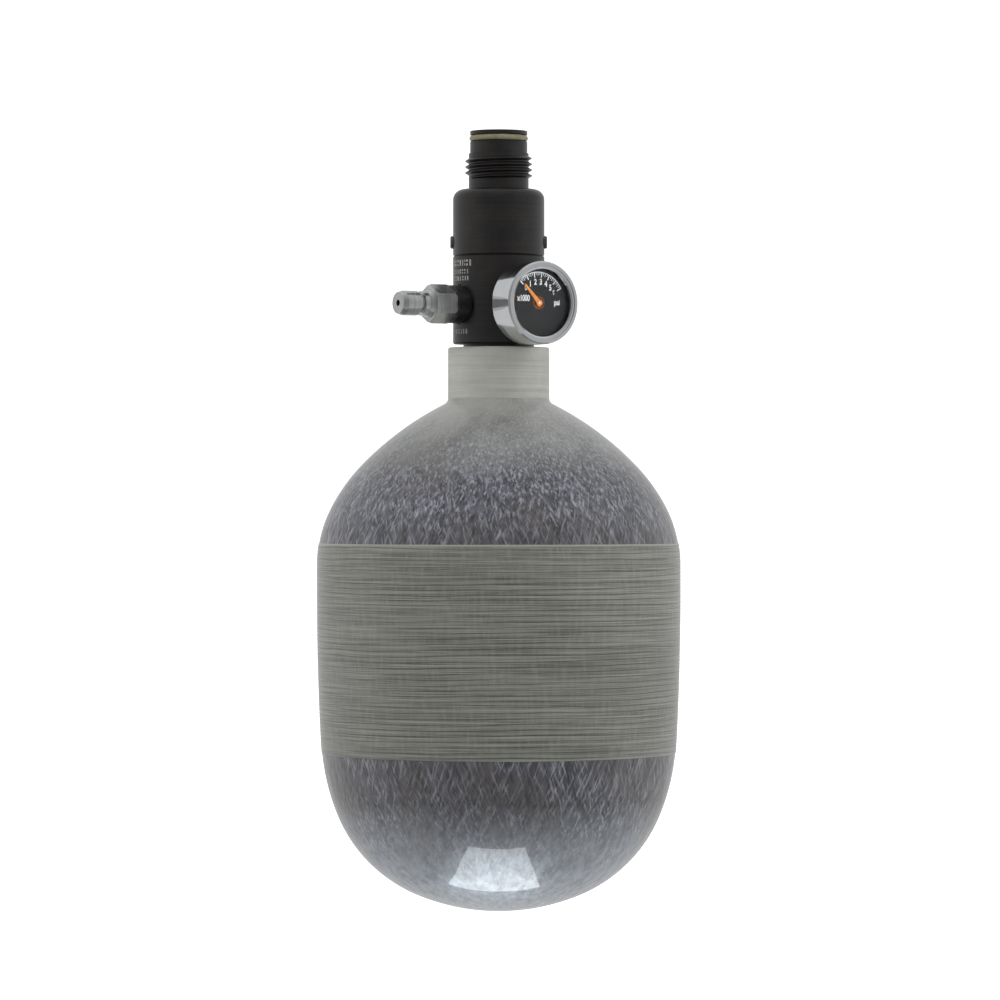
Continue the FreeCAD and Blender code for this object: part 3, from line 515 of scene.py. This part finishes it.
MATERIAL_OF = {
    anodised: ("regulator_body", "bonnet"),
    black_screw: ("bonnet_grub_screw_1", "bonnet_grub_screw_2"),
    urethane: ("outlet_oring",),
    black_rubber: ("neck_oring", "piston_oring", "stem_oring", "nipple_seal", "gauge_gasket"),
    brass: ("pin_housing", "stem_guide", "piston", "gauge_socket", "bourdon_post"),
    stainless: ("fill_nipple", "valve_pin", "check_poppet", "check_retainer", "pointer_spindle"),
    wire: ("pin_spring", "check_spring", "spring_washer_1", "spring_washer_2", "spring_washer_3",
           "spring_washer_4", "filter_clip"),
    seal_plastic: ("valve_seat", "pin_seal", "check_seal"),
    hub_copper: ("pointer_bush",),
    porous_bronze(): ("inlet_filter",),
    black_plastic: ("nipple_spacer",),
    plated: ("gauge_case", "gauge_bezel"),
    window: ("gauge_lens",),
    dial_black: ("gauge_dial",),
    orange: ("gauge_pointer",),
    copper: ("high_burst_disc", "low_burst_disc", "bourdon_tube"),
    plug_steel: ("high_burst_plug", "low_burst_plug"),
    neck_metal: ("liner",),
}


def dress(name, material):
    """Give a node its material."""
    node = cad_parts[name]
    node.data.materials.clear()
    node.data.materials.append(material)


for material, names in MATERIAL_OF.items():
    for name in names:
        dress(name, material)
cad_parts["gauge_lens"].visible_shadow = False


# ---------------------------------------------------------------- cylinder

def add_lays(piece):
    """Store each tow lay's own coordinates: turned with height, so that streaks follow a helix."""
    mesh = piece.data
    for name, twist in (("lay_left", LAY_TWIST), ("lay_right", -LAY_TWIST)):
        layer = mesh.attributes.new(name, "FLOAT_VECTOR", "POINT")
        values = []
        for vertex in mesh.vertices:
            x, y, z = vertex.co
            radius = math.hypot(x, y)
            angle = math.atan2(y, x) + twist * z
            spread = 0.012 + 0.72 * radius
            values += [spread * math.cos(angle), spread * math.sin(angle), z]
        layer.data.foreach_set("vector", values)


def tow_relief(angle, radius, height):
    """The overwrap's slight unevenness, in millimetres."""
    place = Vector((math.cos(angle) * radius / 9.0, math.sin(angle) * radius / 9.0, height / 26.0))
    return 0.05 * noise.noise(place)


def neck_fillet():
    """Resin drawn up round the foot of the neck, from the neck down to the cone."""
    heading = math.radians(CONE_HEADING)
    centre_r = NECK_R + NECK_FILLET_R
    start_z = NECK_TOP - DOME_START_DROP
    line_z = start_z + (DOME_START_R - centre_r) / math.tan(heading)
    centre_z = line_z + NECK_FILLET_R / math.sin(heading)
    points = []
    for step in range(9):
        angle = math.pi + heading * step / 8.0
        points.append((centre_r + NECK_FILLET_R * math.cos(angle),
                       centre_z + NECK_FILLET_R * math.sin(angle)))
    return points


def make_overwrap():
    """The carbon skin, with the resin fillet at the neck's foot."""
    outline = neck_fillet() + vessel_outline(0.0, 1.1)
    outline[0] = (NECK_R - 0.05, outline[0][1])
    piece = lathe("overwrap_skin", outline, 288, carbon, tow_relief)
    add_lays(piece)
    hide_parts("carbon_overwrap")
    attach(piece, ROOT)


def hoop_relief(angle, radius, height):
    """Ridges of the wound tow, which wander a little and fade near the band's edges."""
    wander = noise.noise(Vector((math.cos(angle) * 1.4, math.sin(angle) * 1.4, height / 14.0)))
    ridge = math.sin(2 * math.pi * height / HOOP_RIDGE + 2.2 * wander)
    edge = min(1.0, (HOOP_TOP - height) / 1.5, (height - HOOP_BOTTOM) / 1.5)
    return max(0.0, edge) * 0.028 * ridge + 0.03 * wander


def make_hoop():
    """The hoop band's skin. Its edges turn in just under the carbon's surface."""
    inner = vessel_outline(0.0, 0.23)
    outer = vessel_outline(HOOP_PROUD, 0.23)
    outer = [point for point in outer if HOOP_BOTTOM < point[1] < HOOP_TOP]
    top = min(inner, key=lambda point: abs(point[1] - HOOP_TOP) + (point[0] < 40.0) * 99.0)
    bottom = min(inner, key=lambda point: abs(point[1] - HOOP_BOTTOM))
    outline = [(top[0] - 0.25, HOOP_TOP)] + outer + [(bottom[0] - 0.25, HOOP_BOTTOM)]
    piece = lathe("hoop_skin", outline, 320, hoop, hoop_relief)
    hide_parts("hoop_wrap")
    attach(piece, ROOT)


# ---------------------------------------------------------------- outlet thread

def make_thread():
    """A right-hand thread crest that rises out of its root and dies away into it."""
    low, high = node_corners("outlet_thread")
    major = high.x / MM
    depth = THREAD_DEPTH_SHARE * THREAD_PITCH
    root = major - depth
    crest_half = THREAD_PITCH / 16.0
    root_half = crest_half + depth * math.tan(math.radians(THREAD_HALF_ANGLE))
    bottom = low.z / MM + root_half
    turns = ((high.z - low.z) / MM - 2.0 * root_half) / THREAD_PITCH
    shape = ((-0.06, -root_half - 0.03), (0.0, -root_half), (depth - 0.10, -crest_half - 0.05),
             (depth, -crest_half + 0.03), (depth, crest_half - 0.03), (depth - 0.10, crest_half + 0.05),
             (0.0, root_half), (-0.06, root_half + 0.03))
    steps = int(turns * THREAD_STEPS)
    verts = []
    faces = []
    for step in range(steps + 1):
        angle = math.radians(THREAD_START) + 2 * math.pi * turns * step / steps
        run_out = THREAD_STEPS * THREAD_RUN_OUT
        grow = min(1.0, step / run_out, (steps - step) / run_out)
        grow = math.sin(0.5 * math.pi * grow)
        for out, along in shape:
            radius = root + out * grow - 0.03 * (1.0 - grow)
            height = bottom + THREAD_PITCH * turns * step / steps + along * (0.4 + 0.6 * grow)
            verts.append((radius * MM * math.cos(angle), radius * MM * math.sin(angle), height * MM))
    width = len(shape)
    for step in range(steps):
        for side in range(width):
            after = (side + 1) % width
            first = step * width
            second = first + width
            faces.append((first + side, second + side, second + after, first + after))
    faces.append(tuple(range(width)))
    faces.append(tuple(range(len(verts) - 1, len(verts) - width - 1, -1)))
    piece = new_object("thread_crest", verts, faces, anodised)
    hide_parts("outlet_thread")
    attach(piece, ROOT)


# ---------------------------------------------------------------- gauge

dial_low, dial_high = node_corners("gauge_dial")
DIAL_FACE = dial_low.y
DIAL_CENTRE = Vector((0.0, DIAL_FACE, 0.5 * (dial_low.z + dial_high.z)))
PRINT_LIFT = 0.00002


def dial_point(radius, degrees, lift=PRINT_LIFT):
    """A point on the dial, at an angle clockwise from upright."""
    angle = math.radians(degrees + DIAL_TURN)
    return DIAL_CENTRE + Vector((radius * MM * math.sin(angle), -lift, radius * MM * math.cos(angle)))


def strip(name, corners, material):
    """Flat printed shapes: a list of four-cornered patches in one piece."""
    verts = []
    faces = []
    for patch in corners:
        first = len(verts)
        verts += patch
        faces.append((first, first + 1, first + 2, first + 3))
    return new_object(name, verts, faces, material, smooth=False)


def tick(degrees, inner, outer, width):
    """One mark of the scale, between two radii."""
    half_in = math.degrees(width / 2 / inner)
    half_out = math.degrees(width / 2 / outer)
    return [dial_point(inner, degrees - half_in), dial_point(inner, degrees + half_in),
            dial_point(outer, degrees + half_out), dial_point(outer, degrees - half_out)]


def make_scale():
    """The dial's ticks, four to a reading, and the arc that joins their outer ends."""
    start = -DIAL_SPAN / 2
    step = DIAL_SPAN / DIAL_TOP_READING
    patches = []
    for part in range(DIAL_TOP_READING * 4 + 1):
        degrees = start + step * part / 4
        inner = DIAL_ARC_R - TICK_LENGTHS[part % 4]
        patches.append(tick(degrees, inner, DIAL_ARC_R, TICK_WIDE if part % 4 == 0 else TICK_NARROW))
    pieces = 60
    for part in range(pieces):
        first = start + DIAL_SPAN * part / pieces
        second = start + DIAL_SPAN * (part + 1) / pieces
        patches.append([dial_point(DIAL_ARC_R - 0.1, first), dial_point(DIAL_ARC_R - 0.1, second),
                        dial_point(DIAL_ARC_R + 0.16, second), dial_point(DIAL_ARC_R + 0.16, first)])
    piece = strip("dial_scale", patches, printing)
    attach(piece, ROOT)


def dial_text(name, words, radius, degrees, size, narrow):
    """Printed characters, centred on a point of the dial."""
    curve = bpy.data.curves.new(name, "FONT")
    curve.body = words
    curve.size = size * MM
    curve.align_x = "CENTER"
    curve.align_y = "CENTER"
    curve.extrude = 0.000004
    curve.offset = 0.00006
    curve.materials.append(printing)
    piece = bpy.data.objects.new(name, curve)
    bpy.context.collection.objects.link(piece)
    piece.location = dial_point(radius, degrees)
    piece.rotation_euler = (math.radians(90.0), 0.0, 0.0)
    piece.scale.x = narrow
    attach(piece, ROOT)


def make_dial_print():
    """The scale, its numbers, and the plain factor and unit."""
    make_scale()
    step = DIAL_SPAN / DIAL_TOP_READING
    for reading in range(DIAL_TOP_READING + 1):
        degrees = -DIAL_SPAN / 2 + step * reading
        dial_text("dial_number_%d" % reading, str(reading), DIAL_NUMBER_R, degrees, 2.5, 0.8)
    dial_text("dial_factor", "x1000", 5.6, -84.0, 2.6, 0.7)
    dial_text("dial_unit", "psi", 6.9, 80.0, 2.4, 0.8)


def make_bush_bead():
    """The rounded bead on the pointer's bush."""
    low, high = node_corners("pointer_bush")
    radius = 0.5 * (high.x - low.x) / MM
    outline = ((radius, -0.02), (radius, 0.08), (radius - 0.12, 0.17), (radius - 0.3, 0.2),
               (radius - 0.48, 0.17), (radius - 0.6, 0.08), (radius - 0.6, -0.02))
    piece = lathe("bush_bead", outline, 64, hub_copper)
    turn = Matrix(((1, 0, 0), (0, 0, -1), (0, 1, 0))).to_4x4()
    place = Matrix.Translation((0.0, low.y, DIAL_CENTRE.z))
    piece.data.transform(place @ turn)
    piece.data.flip_normals()
    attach(piece, ROOT)


# ---------------------------------------------------------------- regulator marks

REGULATOR_R = node_corners("regulator_body")[1].x
MARK_LIFT = 0.000015


def make_marks():
    """Rows of plain etched dashes above and below the nipple, in place of any wording."""
    random.seed(11)
    patches = []
    for height, first, last, tall in MARK_ROWS:
        along = first
        while along < last:
            width = random.uniform(0.0005, 0.0012)
            strokes = random.choice((1, 1, 2))
            for stroke in range(strokes):
                stroke_tall = tall if strokes == 1 else tall * 0.38
                middle = height + (stroke - (strokes - 1) / 2) * tall * 0.62
                patches.append(mark(along, along + width * 0.62, middle, stroke_tall))
            along += width + MARK_GAP
    piece = strip("etched_marks", patches, etching)
    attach(piece, ROOT)


def mark(first, second, middle, tall):
    """One dash on the regulator's side, measured round from the nipple."""
    corners = []
    for along, height in ((first, -tall / 2), (second, -tall / 2), (second, tall / 2), (first, tall / 2)):
        angle = math.pi + along / REGULATOR_R
        radius = REGULATOR_R + MARK_LIFT
        corners.append(Vector((radius * math.cos(angle), radius * math.sin(angle), middle + height)))
    return corners


make_overwrap()
make_hoop()
make_thread()
make_dial_print()
make_bush_bead()
make_marks()


# ---------------------------------------------------------------- studio

def make_floor():
    """A wide pale floor that curves up into a wall. It neither lights the object nor mirrors in it."""
    shader = Shader("pale_floor", Roughness=0.9)
    shader.colour(shader.mix(shader.noise(shader.place, 3.0), rgb(246, 246, 246), rgb(250, 250, 250)))
    shader.surface.inputs["Emission Color"].default_value = (1.0, 1.0, 1.0, 1.0)
    shader.surface.inputs["Emission Strength"].default_value = FLOOR_GLOW
    floor_z = wrap_low.z / MM - FLOOR_DROP
    outline = [(0.0, floor_z), (FLOOR_RADIUS, floor_z)]
    for step in range(1, 13):
        angle = math.radians(90.0 * step / 12)
        outline.append((FLOOR_RADIUS + FLOOR_CURVE * math.sin(angle),
                        floor_z + FLOOR_CURVE * (1 - math.cos(angle))))
    outline.append((FLOOR_RADIUS + FLOOR_CURVE, floor_z + WALL_HEIGHT))
    floor = lathe("studio_floor", outline, 96, shader.material)
    floor.data.flip_normals()
    floor.visible_diffuse = False
    floor.visible_glossy = False


def horizontal(azimuth):
    """The level direction that points back towards a viewer at this azimuth."""
    around = math.radians(azimuth)
    return Vector((math.sin(around), -math.cos(around), 0.0))


def area_light(name, place, target, width, height, power):
    """A soft box aimed at a point. It doesn't show as a reflection."""
    light = bpy.data.lights.new(name, "AREA")
    light.shape = "RECTANGLE"
    light.size = width
    light.size_y = height
    light.energy = power
    lamp = bpy.data.objects.new(name, light)
    bpy.context.collection.objects.link(lamp)
    lamp.location = place
    lamp.rotation_euler = (place - target).to_track_quat("Z", "Y").to_euler()
    lamp.visible_camera = False
    lamp.visible_glossy = False
    lamp.visible_transmission = False


def make_panel():
    """A pale window under the object, which shows only as a reflection in its glossy bottom."""
    shader = Shader("window_panel", Roughness=0.9)
    shader.colour(shader.mix(shader.noise(shader.place, 30.0), rgb(236, 240, 246), rgb(246, 248, 252)))
    shader.surface.inputs["Emission Color"].default_value = (0.90, 0.96, 1.0, 1.0)
    shader.surface.inputs["Emission Strength"].default_value = PANEL_GLOW
    near = horizontal(CAMERA_AZIMUTH)
    across = Vector((-near.y, near.x, 0.0))
    drop = Vector((0.0, 0.0, PANEL_HEIGHT))
    corners = []
    for forward, side in PANEL_CORNERS:
        corners.append(near * forward + across * side + drop)
    panel = new_object("window_panel", corners, [(0, 1, 2, 3)], shader.material, smooth=False)
    panel.visible_camera = False
    panel.visible_diffuse = False
    panel.visible_shadow = False
    panel.visible_transmission = False


def make_lights():
    """Two soft boxes, one from the left and one from the right."""
    middle = Vector((0.0, 0.0, EYE_HEIGHT))
    lamps = (("key_box", -90.0, 0.9, KEY_POWER), ("fill_box", 30.0, 0.5, FILL_POWER))
    for name, azimuth, rise, power in lamps:
        place = middle + horizontal(azimuth) * LAMP_DISTANCE + Vector((0.0, 0.0, rise))
        area_light(name, place, middle, LAMP_SIZE[0], LAMP_SIZE[1], power)


def make_world():
    """A pale surround on every side but the viewer's, where it is dim."""
    world = bpy.data.worlds.new("studio")
    world.use_nodes = True
    tree = world.node_tree
    background = tree.nodes["Background"]
    place = tree.nodes.new("ShaderNodeTexCoord").outputs["Generated"]
    facing = tree.nodes.new("ShaderNodeVectorMath")
    facing.operation = "DOT_PRODUCT"
    facing.inputs[1].default_value = horizontal(CAMERA_AZIMUTH)
    tree.links.new(place, facing.inputs[0])
    level = tree.nodes.new("ShaderNodeMapRange")
    for socket, number in (("From Min", 0.0), ("From Max", 1.0), ("To Min", SURROUND_ROUND),
                           ("To Max", SURROUND_FRONT)):
        level.inputs[socket].default_value = number
    tree.links.new(facing.outputs["Value"], level.inputs["Value"])
    tree.links.new(level.outputs[0], background.inputs["Strength"])
    background.inputs["Color"].default_value = (1.0, 1.0, 1.0, 1.0)
    bpy.context.scene.world = world


def make_camera():
    """A level camera to the left of the gauge's own direction."""
    camera = bpy.data.cameras.new("camera")
    camera.lens = CAMERA_LENS
    camera.sensor_width = 36.0
    camera.clip_start = 0.01
    camera.clip_end = 50.0
    eye = bpy.data.objects.new("camera", camera)
    bpy.context.collection.objects.link(eye)
    around = math.radians(CAMERA_AZIMUTH)
    back = horizontal(CAMERA_AZIMUTH)
    right = Vector((math.cos(around), math.sin(around), 0.0))
    eye.location = back * CAMERA_DISTANCE + right * CAMERA_SIDESTEP + Vector((0.0, 0.0, EYE_HEIGHT))
    eye.rotation_euler = (math.radians(90.0), 0.0, around)
    bpy.context.scene.camera = eye


make_floor()
make_lights()
make_panel()
make_world()
make_camera()
bpy.context.scene.view_settings.view_transform = "Standard"
